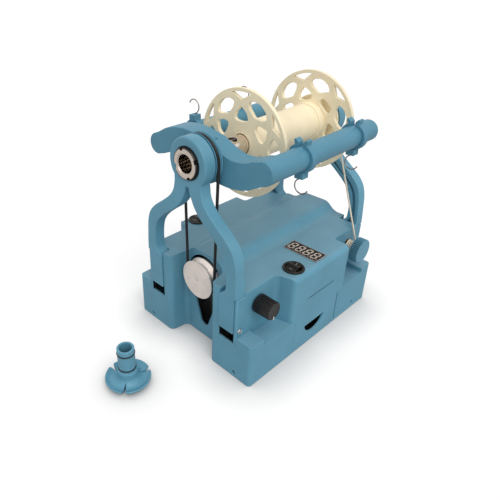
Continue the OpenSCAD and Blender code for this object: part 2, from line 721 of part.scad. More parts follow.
// Spring from the cord's end to the peg on the rear maiden
spring_r = 2.6;
spring_wire = 0.45;
spring_curls = 9;
spring_peg_at = [-40, brake_y, 149];
spring_dir = unit(spring_peg_at - spring_eye);
spring_side = unit(cross(spring_dir, [0, 1, 0]));
spring_up = cross(spring_dir, spring_side);
spring_len = norm(spring_peg_at - spring_eye);
spring_path = concat(
    [spring_eye + spring_dir * 0.6],
    [
        for (i = [0:8 * spring_curls])
            let (a = 45 * i)
            spring_eye + spring_dir * (3 + (spring_len - 9) * i / (8 * spring_curls))
                + spring_r * (cos(a) * spring_side + sin(a) * spring_up)
    ],
    [spring_eye + spring_dir * (spring_len - 3.4)]
);
module brake_spring() color(STEEL) swept(spring_path, spring_wire, 6);
echo(spring_least_gap = least(spring_path, 4) - 2 * spring_wire);
module spring_peg() color(STEEL) {
    rod_y(1.6, brake_y - 2, maiden_y + 6, spring_peg_at[0], spring_peg_at[2]);
    rod_y(2.6, brake_y - 3.4, brake_y - 2, spring_peg_at[0], spring_peg_at[2]);
}

// ---- Flyer ----

// Upper edge of the right half of the yoke, then its lower edge back to the hub
yoke_top = smooth([[0, 18], [11, 13.7], [22, 8.2], [35, 4.4], [49, 5.4], [60, 8.9], [arm_off, arm_r - 0.2]], 4);
yoke_low = smooth([[arm_off + 7, -7.6], [62, -14.4], [54, -18.2], [44, -21.2], [30, -22.6], [15, -21.4],
                   [0, -18]], 4);
yoke_half = concat(yoke_top, arc(arm_off, 0, arm_r - 0.2, 84, -38, 8), yoke_low);
yoke_outline = concat(yoke_half, [for (p = yoke_half) -p]);

module at_flyer() rotate_about_spindle(flyer_turn) children();
module flyer_frame() color(BLUE) at_flyer() difference() {
    union() {
        along_y(yoke_y, yoke_y + yoke_t) polygon(yoke_outline);
        for (side = [-1, 1]) rod_y(arm_r, yoke_y, arm_end_y, side * arm_off, 0);
        rod_y(17, yoke_y, yoke_y + yoke_t, 0, 0);
    }
    rod_y(tube_r + 0.02, yoke_y - 1, yoke_y + yoke_t + 1);
    // Hole of the set screw that clamps the yoke on the tube
    translate([5, -77.5, 0]) cylinder(r = 1.6, h = 30, $fn = round_n);
}
tube_end_y = flange_front_y - flange_t + 1.6;
tube_hole_y = tube_end_y - 12;
module orifice_tube() color(STEEL) translate([0, 0, spindle_z]) difference() {
    rod_y(tube_r, -half_l - 3.6, tube_end_y);
    rod_y(orifice_r, -half_l - 5, tube_end_y - 4.9);
    rod_y(orifice_r + 0.3, tube_end_y - 5, tube_end_y - 4);
    rod_y(shaft_r + 0.02, tube_end_y - 6, tube_end_y + 1);
    // Side holes that the yarn leaves by
    at_side_holes() cylinder(r = 4.5, h = 15, $fn = round_n);
}
module at_side_holes() for (a = [75, 255])
    rotate([0, -flyer_turn, 0]) translate([0, tube_hole_y - 4, 0]) rotate([0, 90 - a, 0]) children();
ring_nut_y = -half_l - 4.2;
module orifice_ring() color("#8d8d90") translate([0, 0, spindle_z]) difference() {
    rod_y(14.9, ring_nut_y, ring_nut_y + 6.2);
    rod_y(tube_r + 0.02, ring_nut_y - 1, ring_nut_y + 8);
    for (a = [70:90:340]) rotate([0, a, 0])
        box(-2.1, 2.1, ring_nut_y - 1, ring_nut_y + 8, 12.4, 16);
}
module flyer_shaft() color(STEEL)
    rod_y(shaft_r, tube_end_y - 4, maiden_y + 7.6, 0, spindle_z);
module shaft_collar() color(STEEL)
    ring_y(7, shaft_r + 0.02, maiden_y - 3.6, maiden_y + 0.2, 0, spindle_z);

// ---- Bobbin ----

spokes = 6;
// Pointed arch next to the hub, leaf above it, and curved triangle at the rim
module arch_hole() polygon(rounded([
    [22.4, 0, 0], [22.8, -5.5, 1.5], [24.8, -8.6, 1.8], [30.5, -7.2, 6], [37, 0, 0.8],
    [30.5, 7.2, 6], [24.8, 8.6, 1.8], [22.8, 5.5, 1.5]
], 3));
module leaf_hole() polygon(rounded([
    [32.4, 0, 5], [35.8, -8.5, 6], [39.6, -12.9, 2.2], [44.8, -8.8, 6], [47.6, 0, 9],
    [44.8, 8.8, 6], [39.6, 12.9, 2.2], [35.8, 8.5, 6]
], 3));
module rim_hole() polygon(concat([[43.2, 0], [45.6, -4.5]], arc(0, 0, 50.5, -13.5, 13.5, 6), [[45.6, 4.5]]));
module flange(y0, turn, bore) color(CREAM) translate([0, y0, spindle_z]) difference() {
    along_y(0, flange_t) difference() {
        circle(r = flange_r, $fn = 96);
        for (i = [0:spokes - 1]) rotate(turn + i * 60) {
            arch_hole();
            rim_hole();
            rotate(30) leaf_hole();
        }
    }
    rod_y(bore, -1, flange_t + 1);
}
hub_r = 13;
module bobbin_front_flange() flange(flange_front_y - flange_t, 33, hub_r);
module bobbin_rear_flange() flange(flange_rear_y, 46, hub_r);
module bobbin_core() color(CREAM) {
    ring_y(core_r, hub_r, flange_front_y, flange_rear_y, 0, spindle_z);
    ring_y(hub_r, hub_r - 2.4, flange_front_y - flange_t, flange_rear_y + flange_t, 0, spindle_z);
    ring_y(core_r + 1.6, core_r - 1, flange_rear_y - 9, flange_rear_y, 0, spindle_z);
}
whorl_y = flange_rear_y + flange_t;
module bobbin_whorl() color(CREAM) translate([0, whorl_y + 9, spindle_z]) rotate([90, 0, 0])
    rotate_extrude($fn = 64) polygon([
        [hub_r - 2.4, -4.5], [brake_r + 3, -4.5], [brake_r + 3, -3], [brake_r, -1.2], [brake_r, 1.2],
        [brake_r + 3, 3], [brake_r + 3, 4.5], [18, 4.5], [18, 9], [hub_r - 2.4, 9]
    ]);
module bobbin_bushes() color("#c9a24e")
    for (y = [flange_front_y - 1, whorl_y + 5.5])
        ring_y(hub_r - 2.4, shaft_r + 0.06, y, y + 8, 0, spindle_z);

// ---- Sliding hooks ----

clip_gap = 0.06;
clip_r = arm_r + 3;
module at_clip(i)
    rotate_about_spindle(flyer_turn + (i < 2 ? 0 : 180)) translate([arm_off, clip_y[i], 0]) children();
// Ring open on one side, flared tabs at the mouth, a lug opposite
module hook_clip(i) color(BLUE) at_clip(i) difference() {
    union() {
        rod_y(clip_r, -3.5, 3.5);
        for (side = [-1, 1])
            along_y(-3.5, 3.5) polygon([[side * 2.2, clip_r - 3], [side * 2.2, clip_r + 1], [side * 5.6, clip_r + 3.8],
                                       [side * 7.4, clip_r + 3], [side * 6, clip_r - 2.4]]);
        box(-4.5, 4.5, -4.5, 4.5, -clip_r - 5, -clip_r + 1.5);
    }
    rod_y(arm_r + clip_gap, -6, 6);
    box(-2.2, 2.2, -5, 5, 8, clip_r + 6);
    translate([0, 0, -clip_r - 6]) cylinder(r = 0.8, h = 5, $fn = round_n);
}
// Open cup hook: a shank, then a swing out and round
hook_bow = 7.2;
hook_points = concat(
    [[0, -clip_r - 1.5], [0, -clip_r - 5.5]],
    arc(0.6, -clip_r - 13.2, hook_bow, 112, 335, 18)
);
module hook_wire(i) color("#6f6a66") at_clip(i)
    swept([for (p = hook_points) [p[0], 0, p[1]]], 0.75, 6);

module hook_clip_1() hook_clip(0);
module hook_clip_2() hook_clip(1);
module hook_clip_3() hook_clip(2);
module hook_clip_4() hook_clip(3);
module hook_wire_1() hook_wire(0);
module hook_wire_2() hook_wire(1);
module hook_wire_3() hook_wire(2);
module hook_wire_4() hook_wire(3);

// ---- Loose orifice insert ----

insert_r = 8.8;
insert_bore = 6.5;
petal_r = 23.8;
petal_z = 8.4;
seal_z = [20.5, 39];
slot_angles = [-48, 72, 192];
// Half section of the insert: dished petals, collar, then the tube with its two seal grooves
insert_section = concat(
    rounded([
        [insert_bore, 4, 0], [9, 1, 3], [13.5, 0, 6], [19, 2.4, 14], [petal_r - 0.4, 6.4, 0.6],
        [petal_r - 0.6, petal_z, 0.6], [18, 5, 5], [13.4, 6.2, 6], [10.6, 10, 4], [10.4, 17.2, 0.4],
        [insert_r, 17.6, 0]
    ], 3),
    [for (z = seal_z) each [[insert_r, z - 1], [insert_r - 0.9, z - 1], [insert_r - 0.9, z + 1], [insert_r, z + 1]]],
    [[insert_r, insert_h - 0.4], [insert_r - 0.4, insert_h], [insert_bore, insert_h]]
);
module orifice_insert() color(BLUE) translate([insert_x, insert_y, 0]) difference() {
    rotate_extrude($fn = 72) polygon(insert_section);
    for (a = slot_angles) rotate([0, 0, a])
        translate([0, 0, -1]) linear_extrude(petal_z + 4)
            polygon(rounded([[12, -0.6, 0], [petal_r - 3, -1.4, 6], [petal_r + 2, -5, 0],
                             [petal_r + 2, 5, 0], [petal_r - 3, 1.4, 6], [12, 0.6, 0]]));
}
module insert_seals() color(DARK)
    for (z = seal_z) translate([insert_x, insert_y, z])
        rotate_extrude($fn = round_n) translate([insert_r - 0.15, 0]) circle(r = 0.7, $fn = 16);

base_tray();
rubber_feet();
case_screws();
top_cover();
front_maiden();
rear_maiden();
maiden_screws();
front_bearing_outer();
rear_bearing_outer();
bearing_balls();
motor_can();
motor_end_cap();
motor_bracket();
motor_screws();
drive_belt();
control_board();
board_parts();
display_bezel();
display_face();
power_switch_body();
direction_switch_body();
pot_body();
pot_nut();
dc_inlet();
brake_cord();
brake_spring();
spring_peg();
tension_bush();
motor_shaft();
motor_pulley();
flyer_frame();
orifice_tube();
orifice_ring();
front_bearing_inner();
rear_bearing_inner();
flyer_pulley();
flyer_shaft();
shaft_collar();
bobbin_front_flange();
bobbin_rear_flange();
bobbin_core();
bobbin_whorl();
bobbin_bushes();
hook_clip_1();
hook_clip_2();
hook_clip_3();
hook_clip_4();
hook_wire_1();
hook_wire_2();
hook_wire_3();
hook_wire_4();
power_rocker();
direction_rocker();
pot_shaft();
speed_knob();
tension_shaft();
tension_knob();
orifice_insert();
insert_seals();
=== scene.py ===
import math
import bmesh
import bpy
from mathutils import Matrix, Vector
from mathutils.kdtree import KDTree


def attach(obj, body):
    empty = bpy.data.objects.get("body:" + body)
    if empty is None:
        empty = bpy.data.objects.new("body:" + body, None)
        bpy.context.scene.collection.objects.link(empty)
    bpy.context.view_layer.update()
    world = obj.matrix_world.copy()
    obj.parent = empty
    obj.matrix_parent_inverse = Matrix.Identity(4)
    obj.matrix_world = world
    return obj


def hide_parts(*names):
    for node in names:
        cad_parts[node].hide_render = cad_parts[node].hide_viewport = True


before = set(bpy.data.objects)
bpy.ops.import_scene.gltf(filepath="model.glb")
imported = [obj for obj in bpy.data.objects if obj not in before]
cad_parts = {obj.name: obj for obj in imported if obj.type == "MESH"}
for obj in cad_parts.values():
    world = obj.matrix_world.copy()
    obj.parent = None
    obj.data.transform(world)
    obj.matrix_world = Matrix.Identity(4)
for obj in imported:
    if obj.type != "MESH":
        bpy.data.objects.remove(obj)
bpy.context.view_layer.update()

# ---- Base tray ----
# The lower half of the case: a deep printed box with a notch between its two front feet and a
# raised pad at each corner. Matt blue plastic, its edges lightly rounded.
mm = 0.001
blue = (0.105, 0.292, 0.405)
painted_shade_black = (0.004, 0.006, 0.008)


class Wire:
    """One output of a node; sums and products on it add Math nodes to its tree."""

    def __init__(self, nodes, socket):
        self.nodes = nodes
        self.socket = socket

    def maths(self, operation, *others):
        """The result of a Math node on this wire and any others."""
        return self.nodes.add("ShaderNodeMath", {"operation": operation}, dict(enumerate((self, *others))))()

    def __add__(self, other):
        return self.maths("ADD", other)

    def __sub__(self, other):
        return self.maths("SUBTRACT", other)

    def __rsub__(self, other):
        return self * -1 + other

    def __mul__(self, other):
        return self.maths("MULTIPLY", other)

    __radd__ = __add__

    def between(self, low, high):
        """0 below low, 1 above high, smooth between them."""
        settings = {"interpolation_type": "SMOOTHSTEP"}
        return self.nodes.add("ShaderNodeMapRange", settings, {0: self, 1: low, 2: high})()


class Nodes:
    """A node tree being built. add() makes any node from its type, settings and sockets."""

    def __init__(self, tree):
        self.tree = tree

    def add(self, kind, settings={}, sockets={}):
        node = self.tree.nodes.new(kind)
        for key, value in settings.items():
            setattr(node, key, value)
        for key, value in sockets.items():
            if isinstance(value, Wire):
                self.tree.links.new(value.socket, node.inputs[key])
            else:
                node.inputs[key].default_value = value
        return lambda output=0: Wire(self, node.outputs[output])

    def place(self, stretch=(1, 1, 1), centre=(0, 0, 0)):
        """The point on the piece, moved to a centre and stretched."""
        here = self.add("ShaderNodeTexCoord")("Object")
        moved = self.add("ShaderNodeVectorMath", {"operation": "SUBTRACT"}, {0: here, 1: centre})()
        return self.add("ShaderNodeVectorMath", {"operation": "MULTIPLY"}, {0: moved, 1: stretch})()

    def noise(self, scale, detail=3, stretch=(1, 1, 1)):
        """Noise with so many waves to a metre, its marks drawn out where the stretch is small."""
        sockets = {"Vector": self.place(stretch), "Scale": scale, "Detail": detail}
        return self.add("ShaderNodeTexNoise", {}, sockets)()

    def distance(self, stretch, centre):
        """How far the point is from a centre; a stretch of 0 along one axis measures from that axis."""
        sockets = {0: self.place(stretch, centre)}
        return self.add("ShaderNodeVectorMath", {"operation": "LENGTH"}, sockets)("Value")

    def shades(self, amount, first, second):
        """The first colour at 0 and the second at 1; either may be a wire."""
        first, second = (c if isinstance(c, Wire) else (*c, 1) for c in (first, second))
        return self.add("ShaderNodeMix", {"data_type": "RGBA"}, {0: amount, 6: first, 7: second})(2)

    def inside(self, *boxes):
        """1 within any of the boxes and 0 outside; x and y count the same on both sides of 0."""
        spot = self.add("ShaderNodeSeparateXYZ", {}, {0: self.place()})
        sides = [spot(0).maths("ABSOLUTE"), spot(1).maths("ABSOLUTE"), spot(2)]
        found = 0.0
        for low, high in boxes:
            held = 1.0
            for side, a, b in zip(sides, low, high):
                held = side.maths("GREATER_THAN", a * mm) * side.maths("LESS_THAN", b * mm) * held
            found = held.maths("MAXIMUM", found)
        return found

    def bump(self, height, depth, strength):
        """The normal of a surface with a relief so many metres deep."""
        return self.add("ShaderNodeBump", {}, {"Height": height, "Distance": depth, "Strength": strength})()


def tinted(colour, factor):
    """A colour made lighter or darker."""
    return tuple(min(1, channel * factor) for channel in colour)


def start(name):
    """A new material and the nodes of its empty tree."""
    material = bpy.data.materials.new(name)
    material.use_nodes = True
    material.node_tree.nodes.clear()
    return material, Nodes(material.node_tree)


def surface(material, nodes, **sockets):
    """Ends a material in one Principled surface."""
    named = {key.replace("_", " "): value for key, value in sockets.items()}
    shader = nodes.add("ShaderNodeBsdfPrincipled", {}, named)()
    nodes.add("ShaderNodeOutputMaterial", {}, {"Surface": shader})
    return material


def printed_plastic(name, colour, rough, layers=(1, 1, 14), dust_and_sheen=0.0, shade_boxes=(), painted_shade_part=None):
    """Printed plastic with fine grain and faint layers.

    Pale dust and a painted warm sheen lie on what faces up. Painted black shade fills the given boxes,
    and painted shade darkens it where the given shade function of its nodes gives 1.
    """
    material, nodes = start(name)
    slow = nodes.noise(22, 4)
    speck = nodes.noise(750, 2)
    streak = nodes.noise(60, 3, layers)
    grain = nodes.noise(2600, 1)
    shade = slow * 0.62 + speck * 0.2 + streak * 0.18
    base = nodes.shades(shade.between(0.28, 0.72), tinted(colour, 0.9), tinted(colour, 1.1))
    # Pale dust and a painted warm sheen on what faces up.
    if dust_and_sheen:
        upward = nodes.add("ShaderNodeSeparateXYZ", {}, {0: nodes.add("ShaderNodeNewGeometry")("Normal")})(2)
        upward_dust_and_sheen = upward.between(0.75, 1.0) * (0.55 + slow * 0.9) * dust_and_sheen
        base = nodes.shades(upward_dust_and_sheen, base, (0.42, 0.36, 0.31))
    # Painted shade, darker where the given function of the nodes gives 1.
    if painted_shade_part:
        base = nodes.shades(painted_shade_part(nodes), base, tinted(colour, 0.3))
    # Painted black shade within the given boxes.
    if shade_boxes:
        base = nodes.shades(nodes.inside(*shade_boxes), base, painted_shade_black)
    height = streak * 0.5 + grain * 0.35 + speck * 0.15
    return surface(
        material, nodes,
        Base_Color=base,
        Roughness=rough + (speck - 0.5) * 0.16 + (slow - 0.5) * 0.12,
        Specular_IOR_Level=0.42,
        Normal=nodes.bump(height, 0.00012, 0.55),
    )


def modified(mesh, kind, inputs={}, **settings):
    """The mesh that one modifier makes of a mesh; inputs are those of a Geometry Nodes tree."""
    holder = bpy.data.objects.new("holder", mesh)
    bpy.context.scene.collection.objects.link(holder)
    modifier = holder.modifiers.new("modifier", kind)
    for key, value in settings.items():
        setattr(modifier, key, value)
    for key, value in inputs.items():
        modifier[key] = value
    bpy.context.view_layer.update()
    result = bpy.data.meshes.new_from_object(holder.evaluated_get(bpy.context.evaluated_depsgraph_get()))
    bpy.data.objects.remove(holder)
    return result


def mesh_of(work, name):
    """The mesh of a finished BMesh, which is then freed."""
    mesh = bpy.data.meshes.new(name)
    work.to_mesh(mesh)
    work.free()
    return mesh


def shaded(mesh, angle=38):
    """The mesh with smooth curves and crisp corners, its flat faces shaded flat."""
    mesh.shade_smooth()
    mesh.set_sharp_from_angle(angle=math.radians(angle))
    return modified(mesh, "WEIGHTED_NORMAL", keep_sharp=True)


smallest_area, least_facing = 1e-10, 0.2


def folded_corners(work):
    """Corners of the triangles that lie the wrong way up in their own face."""
    work.normal_update()
    corners = []
    for loops in work.calc_loop_triangles():
        a, b, c = (loop.vert.co for loop in loops)
        across = (b - a).cross(c - a)
        if across.length > smallest_area and across.normalized().dot(loops[0].face.normal) < least_facing:
            corners += [a.copy(), b.copy(), c.copy()]
    return corners


def rounded_edges(solid, width, angle, steps, attempts=8):
    """The solid with its sharp edges rounded, except those that would fold a face over."""
    solid.edges.ensure_lookup_table()
    corner = math.radians(angle)
    chosen = {e.index for e in solid.edges if e.is_manifold and e.calc_face_angle() > corner}
    for attempt in range(attempts):
        work = solid.copy()
        work.edges.ensure_lookup_table()
        edges = [work.edges[i] for i in sorted(chosen)]
        bmesh.ops.bevel(work, geom=edges, offset=width, offset_type="OFFSET", segments=steps, profile=0.5,
                        affect="EDGES", clamp_overlap=False, miter_outer="ARC", spread=0.1 * width)
        folds = folded_corners(work)
        if not folds:
            break
        near = KDTree(len(folds))
        for i, spot in enumerate(folds):
            near.insert(spot, i)
        near.balance()
        room = (1.5 + 0.8 * attempt) * width
        chosen -= {i for i in chosen if any(near.find(v.co)[2] < room for v in solid.edges[i].verts)}
    return work


same_spot, same_plane = 0.000004, math.radians(0.6)


def eased(node, width, angle=38, steps=2):
    """A CAD solid's shape with its edges rounded; width is in metres."""
    solid = bmesh.new()
    solid.from_mesh(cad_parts[node].data)
    bmesh.ops.remove_doubles(solid, verts=solid.verts, dist=same_spot)
    bmesh.ops.dissolve_limit(solid, angle_limit=same_plane, verts=solid.verts, edges=solid.edges)
    mesh = mesh_of(rounded_edges(solid, width, angle, steps), node)
    solid.free()
    return shaded(mesh, angle)


def piece(name, mesh, material, body, finish, *stands_for):
    """Puts a finished mesh in the scene as a piece that moves with a body."""
    made = bpy.data.objects.new(name, mesh)
    bpy.context.scene.collection.objects.link(made)
    mesh.materials.clear()
    mesh.materials.append(material)
    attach(made, body)
    if stands_for:
        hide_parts(*stands_for)
    return made


# The case's inside, in boxes, which its material paints black as shade: the tray and its feet, the
# cover and its shoulders, the maidens' slots and the holes in the walls behind them.
side_wall, floor_top, seam, overlap, roof = 83.1, 1.6, 39.2, 0.1, 97.2
case_shade_boxes = (
    ((0, 0, floor_top), (side_wall, 84.2, seam + overlap)),
    ((40, 84, floor_top), (side_wall, 105.1, seam + overlap)),
    ((0, 0, seam), (63.1, 83.8, roof)),
    ((0, 0, seam), (side_wall, 36, roof)),
    ((42.8, 83.7, seam), (62.6, 105.2, 55.3)),
    ((42.8, 94.3, 42.3), (62.6, 107.9, 55.3)),
)
# Painted black shade inside the case.
# Pale dust and painted warm sheen lie on the case's tops.
case_blue = printed_plastic("case_blue", blue, 0.5, dust_and_sheen=0.1, shade_boxes=case_shade_boxes)
piece("tray", eased("base_tray", 0.5 * mm), case_blue, "case", "blue_plastic", "base_tray")

# ---- Rubber feet and case screws ----
# Four soft round pads pressed into the tray's underside, and the four steel screws that pull the
# cover down onto the tray. Both are seen only from below.


def repaint(node, material):
    """Gives a CAD solid that stays in view its finish."""
    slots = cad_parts[node].data.materials
    slots.clear()
    slots.append(material)


def rubber(name, shade, rough):
    """Matt black rubber with pores, greyer where dust lies."""
    material, nodes = start(name)
    dust = nodes.noise(140, 4)
    pores = nodes.noise(1800, 2)
    dark = (shade, shade, shade * 1.04)
    return surface(
        material, nodes,
        Base_Color=nodes.shades(dust.between(0.45, 0.8), dark, tinted(dark, 1.9)),
        Roughness=rough + (dust - 0.5) * 0.2,
        Specular_IOR_Level=0.3,
        Normal=nodes.bump(pores, 0.00008, 0.5),
    )


def bright_metal(name, colour, rough, stretch=(1, 1, 1), marks=0.5):
    """Bare metal with fine marks drawn out along one direction."""
    material, nodes = start(name)
    lines = nodes.noise(420, 3, stretch)
    haze = nodes.noise(70, 3)
    tone = nodes.shades(haze.between(0.3, 0.7), tinted(colour, 0.88), tinted(colour, 1.06))
    return surface(
        material, nodes,
        Base_Color=tone,
        Metallic=1.0,
        Roughness=rough + (lines - 0.5) * 0.22 + (haze - 0.5) * 0.1,
        Normal=nodes.bump(lines, 0.00006, marks),
    )


black_rubber = rubber("black_rubber", 0.018, 0.62)
screw_steel = bright_metal("screw_steel", (0.66, 0.65, 0.63), 0.26)
repaint("rubber_feet", black_rubber)
repaint("case_screws", screw_steel)

# ---- Top cover ----
# The upper shell: shoulders with a broad ridge over the motor, two side skirts that slide over the
# tray, and slots for the maidens' feet. Printed in the same blue plastic.
# The cover shares the case's painted black shade inside.
piece("cover", eased("top_cover", 0.5 * mm), case_blue, "case", "blue_plastic", "top_cover")

# ---- Maidens ----
# Two lyre-shaped uprights that stand in the cover's slots and carry the spindle's bearings in the
# round bosses at their tops. Each leg has a groove down its inner face.
maiden_blue = printed_plastic("maiden_blue", tinted(blue, 1.02), 0.47)
for node in ("front_maiden", "rear_maiden"):
    piece(node + "_body", eased(node, 0.6 * mm), maiden_blue, "case", "blue_plastic", node)

# ---- Maiden screws ----
# Pan-head steel screws through the cover's cheeks into the maidens' feet, with a cross recess.
piece("maiden_screw_set", eased("maiden_screws", 0.3 * mm), screw_steel, "case", "steel", "maiden_screws")

# ---- Spindle bearings ----
# A large ball bearing in the front boss and a smaller one behind. Dark rubber seals close the gap
# between their rings and show behind the notched ring at the orifice.
spindle_z = 215
spindle = Vector((0, 0, spindle_z * mm))
bearing_steel = bright_metal("bearing_steel", (0.62, 0.62, 0.63), 0.2)
for node in ("front_bearing_outer", "rear_bearing_outer", "front_bearing_inner", "rear_bearing_inner",
             "bearing_balls"):
    repaint(node, bearing_steel)


def skinned(work, rings):
    """Joins each ring of points to the next with a band of faces."""
    for ring, after in zip(rings, rings[1:]):
        for i in range(len(ring)):
            j = (i + 1) % len(ring)
            work.faces.new((ring[i], ring[j], after[j], after[i]))


def turned(name, outline, centre, steps=96):
    """A closed shape turned about Y: outline is a loop of (y, radius) in millimetres."""
    work = bmesh.new()
    rings = []
    for y, radius in outline:
        ring = []
        for i in range(steps):
            a = 2 * math.pi * i / steps
            spot = Vector((radius * math.cos(a), y, radius * math.sin(a))) * mm + centre
            ring.append(work.verts.new(spot))
        rings.append(ring)
    skinned(work, rings + rings[:1])
    bmesh.ops.recalc_face_normals(work, faces=work.faces)
    return shaded(mesh_of(work, name))


front_seal = [(-109.2, 15.2), (-109.2, 15.9), (-105.6, 15.9), (-105.6, 15.2)]
back_seal = [(104.3, 6.1), (104.3, 8.9), (103.7, 8.9), (103.7, 6.1)]
piece("front_seal", turned("front_seal", front_seal, spindle), black_rubber, "case", "black_rubber")
piece("rear_seal", turned("rear_seal", back_seal, spindle), black_rubber, "case", "black_rubber")

# ---- Motor and bracket ----
# A direct-current motor on a bent steel bracket inside the case. Its zinc-plated can, black end cap
# and shaft, whose end is painted dark as shade, are seen through the window in the front wall.
can_zinc = bright_metal("can_zinc", (0.55, 0.55, 0.55), 0.36, (1, 0.05, 1))
bracket_zinc = bright_metal("bracket_zinc", (0.5, 0.51, 0.53), 0.42, (0.1, 1, 1))


def hard_black(name, shade, rough, warm=1.0, shine=0.3):
    """Moulded black plastic with a fine spark texture."""
    material, nodes = start(name)
    spark = nodes.noise(2400, 2)
    cloud = nodes.noise(55, 3)
    dark = (shade * warm, shade, shade * 0.97)
    return surface(
        material, nodes,
        Base_Color=nodes.shades(cloud.between(0.3, 0.75), tinted(dark, 0.8), tinted(dark, 1.5)),
        Roughness=rough + (spark - 0.5) * 0.14 + (cloud - 0.5) * 0.1,
        Specular_IOR_Level=shine,
        Normal=nodes.bump(spark, 0.00006, 0.45),
    )


moulded_black = hard_black("moulded_black", 0.01, 0.36)
repaint("motor_can", can_zinc)
repaint("motor_end_cap", moulded_black)
repaint("motor_bracket", bracket_zinc)
repaint("motor_screws", screw_steel)
# The shaft's end is painted dark as the shade of the pulley's centre hole.
repaint("motor_shaft", hard_black("shaft_shade", 0.05, 0.4))

# ---- Motor pulley ----
# A turned aluminium pulley with a single round groove, pressed on the motor shaft. Its plain face
# has fine turning rings and a small hole at the centre.
motor_z = 82
motor_axis = Vector((0, 0, motor_z * mm))


def turned_aluminium(name, colour, centre):
    """Dull aluminium with fine rings about a centre."""
    material, nodes = start(name)
    rings = (nodes.distance((1, 0, 1), tuple(centre)) * 9000).maths("SINE") * 0.5 + 0.5
    haze = nodes.noise(90, 3)
    pits = nodes.noise(1500, 2)
    return surface(
        material, nodes,
        Base_Color=nodes.shades(haze.between(0.3, 0.7), tinted(colour, 0.94), tinted(colour, 1.05)),
        Metallic=0.75,
        Roughness=0.46 + (haze - 0.5) * 0.16 + (pits - 0.5) * 0.12,
        Normal=nodes.bump(rings * 0.5 + pits * 0.5, 0.00005, 0.4),
    )


pulley_silver = turned_aluminium("pulley_silver", (0.93, 0.83, 0.77), motor_axis)
piece("belt_pulley", eased("motor_pulley", 0.35 * mm, 30), pulley_silver, "motor_rotor", "aluminium",
      "motor_pulley")

# ---- Drive belt ----
# A welded round belt of black polyurethane, 3 mm thick, from the motor pulley up to the flyer
# pulley. It runs straight on both sides and hugs each groove.


def geometry_tree(name, **kinds):
    """A Geometry Nodes tree with named inputs: returns the tree, its nodes, wires and identifiers."""
    tree = bpy.data.node_groups.new(name, "GeometryNodeTree")
    tree.interface.new_socket(name="Geometry", in_out="OUTPUT", socket_type="NodeSocketGeometry")
    keys = {}
    for label, kind in {"Geometry": "Geometry", **kinds, "Material": "Material"}.items():
        socket = tree.interface.new_socket(name=label, in_out="INPUT", socket_type="NodeSocket" + kind)
        keys[label] = socket.identifier
    nodes = Nodes(tree)
    return tree, nodes, nodes.add("NodeGroupInput"), keys


def close_tree(nodes, wires, geometry):
    """Ends a tree in Realize Instances and Set Material."""
    real = nodes.add("GeometryNodeRealizeInstances", {}, {0: geometry})()
    dressed = nodes.add("GeometryNodeSetMaterial", {}, {"Geometry": real, "Material": wires("Material")})()
    nodes.add("NodeGroupOutput", {}, {0: dressed})


def grown(mesh, tree, keys, **values):
    """The plain mesh that a Geometry Nodes tree makes of a mesh."""
    return modified(mesh, "NODES", {keys[label]: value for label, value in values.items()}, node_group=tree)


wire_tree, nodes, wires, wire_keys = geometry_tree("round_wire", Radius="Float", Sides="Int")
line = nodes.add("GeometryNodeMeshToCurve", {}, {0: wires("Geometry")})()
ring_sockets = {"Resolution": wires("Sides"), "Radius": wires("Radius")}
section = nodes.add("GeometryNodeCurvePrimitiveCircle", {}, ring_sockets)()
skin_sockets = {"Curve": line, "Profile Curve": section, "Fill Caps": True}
skin = nodes.add("GeometryNodeCurveToMesh", {}, skin_sockets)()
close_tree(nodes, wires, nodes.add("GeometryNodeSetShadeSmooth", {}, {0: skin})())


def wire_mesh(name, points, radius, material, sides, closed=False):
    """A round wire that follows points, all in millimetres."""
    line = bpy.data.meshes.new(name)
    links = [(i, i + 1) for i in range(len(points) - 1)] + ([(len(points) - 1, 0)] if closed else [])
    line.from_pydata([tuple(p * mm) for p in points], links, [])
    return grown(line, wire_tree, wire_keys, Material=material, Radius=radius * mm, Sides=sides)


def arc(centre_z, radius, y, first, last, steps):
    """Points on an arc about a line along Y, from one angle to another."""
    turns = [first + (last - first) * i / steps for i in range(steps + 1)]
    return [Vector((radius * math.cos(a), y, centre_z + radius * math.sin(a))) for a in turns]


belt_y, belt_r = -92.2, 1.48
flyer_wrap, motor_wrap = 22.8, 19.6
lean = math.asin((flyer_wrap - motor_wrap) / (spindle_z - motor_z))
belt_route = arc(spindle_z, flyer_wrap, belt_y, -lean, math.pi + lean, 64)
belt_route += arc(motor_z, motor_wrap, belt_y, math.pi + lean, 2 * math.pi - lean, 64)
belt_black = rubber("belt_black", 0.012, 0.42)
piece("round_belt", wire_mesh("round_belt", belt_route, belt_r, belt_black, 20, True), belt_black, "case",
      "black_rubber", "drive_belt")

# ---- Control board ----
# The speed controller under the cover: a green circuit board on four posts, with capacitors, a
# finned heat sink, a terminal block and a driver chip.


def circuit_green(name):
    """A lacquered circuit board with paler tracks."""
    material, nodes = start(name)
    tracks = nodes.noise(160, 2, (1, 3, 1))
    weave = nodes.noise(900, 1)
    return surface(
        material, nodes,
        Base_Color=nodes.shades(tracks.between(0.5, 0.54), (0.012, 0.11, 0.045), (0.03, 0.2, 0.085)),
        Roughness=0.3 + (weave - 0.5) * 0.12,
        Coat_Weight=0.4,
        Normal=nodes.bump(tracks.between(0.5, 0.54), 0.00005, 0.4),
    )


repaint("control_board", circuit_green("circuit_green"))
repaint("board_parts", hard_black("board_parts", 0.03, 0.5))

# ---- Display ----
# A four-digit seven-segment display set in the right shoulder: a black window in a thin grey-brown
# frame. The unlit segments are milky, slanted, with a point after each digit.
display_x, display_y, display_top = 59.0, 4.5, 100.8
digit_w, digit_h, digit_pitch, bar = 6.7, 13.2, 9.6, 1.6
slant = 0.13


